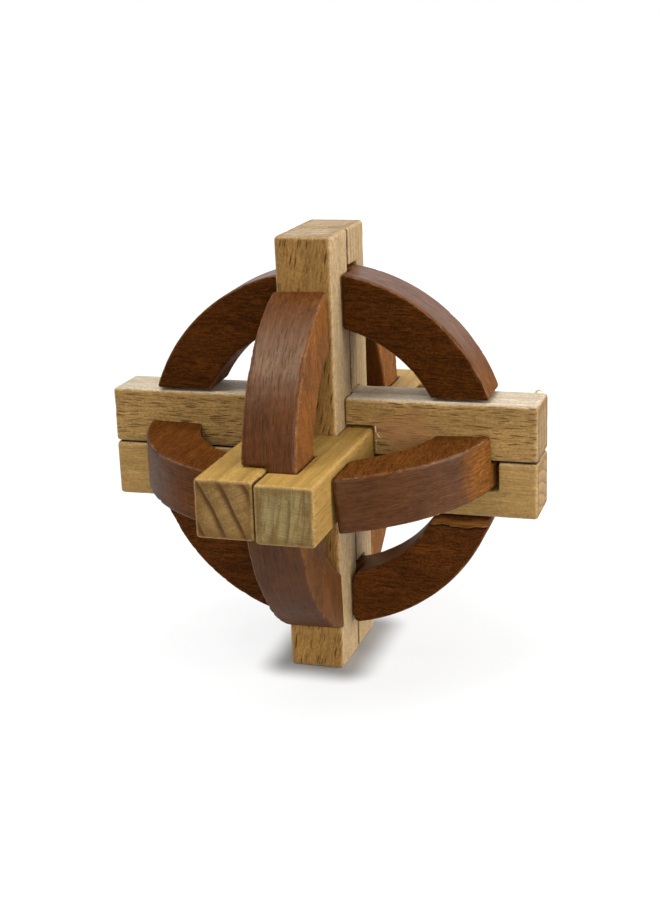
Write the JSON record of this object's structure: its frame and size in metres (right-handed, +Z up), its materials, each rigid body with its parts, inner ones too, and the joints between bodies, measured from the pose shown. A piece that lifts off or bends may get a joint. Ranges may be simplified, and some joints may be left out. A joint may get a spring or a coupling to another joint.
{
  "type": "wooden burr puzzle",
  "caption": "Interlocking wooden burr puzzle: notched square bars crossing in pairs, held by dark half rings, released by a plain sliding key bar.",
  "frame": {"origin": "middle of the footprint, on the surface the puzzle stands on", "axes": "+Z up along the pair of uprights, -Y is the front, where the key bar of the upright pair is, +X to the right along the cross pair"},
  "size_m": [0.1, 0.1004, 0.1],
  "materials": {
    "pale_wood": "sanded, lightly waxed beech",
    "dark_wood": "dark stained, satin"
  },
  "bodies": {
    "burr": {"rear_upright_bar": "pale_wood", "upper_cross_bar": "pale_wood", "lower_cross_bar": "pale_wood", "left_through_bar": "pale_wood", "right_through_bar": "pale_wood", "top_ring": "dark_wood", "bottom_ring": "dark_wood", "front_ring": "dark_wood", "back_ring": "dark_wood", "left_ring": "dark_wood", "right_ring": "dark_wood"},
    "key": {"key_bar": "pale_wood"}
  },
  "joints": [
    {"name": "key_slide", "type": "slide", "parent": "burr", "child": "key", "axis": [0, 0, 1], "range_m": [0, 0.1]}
  ]
}
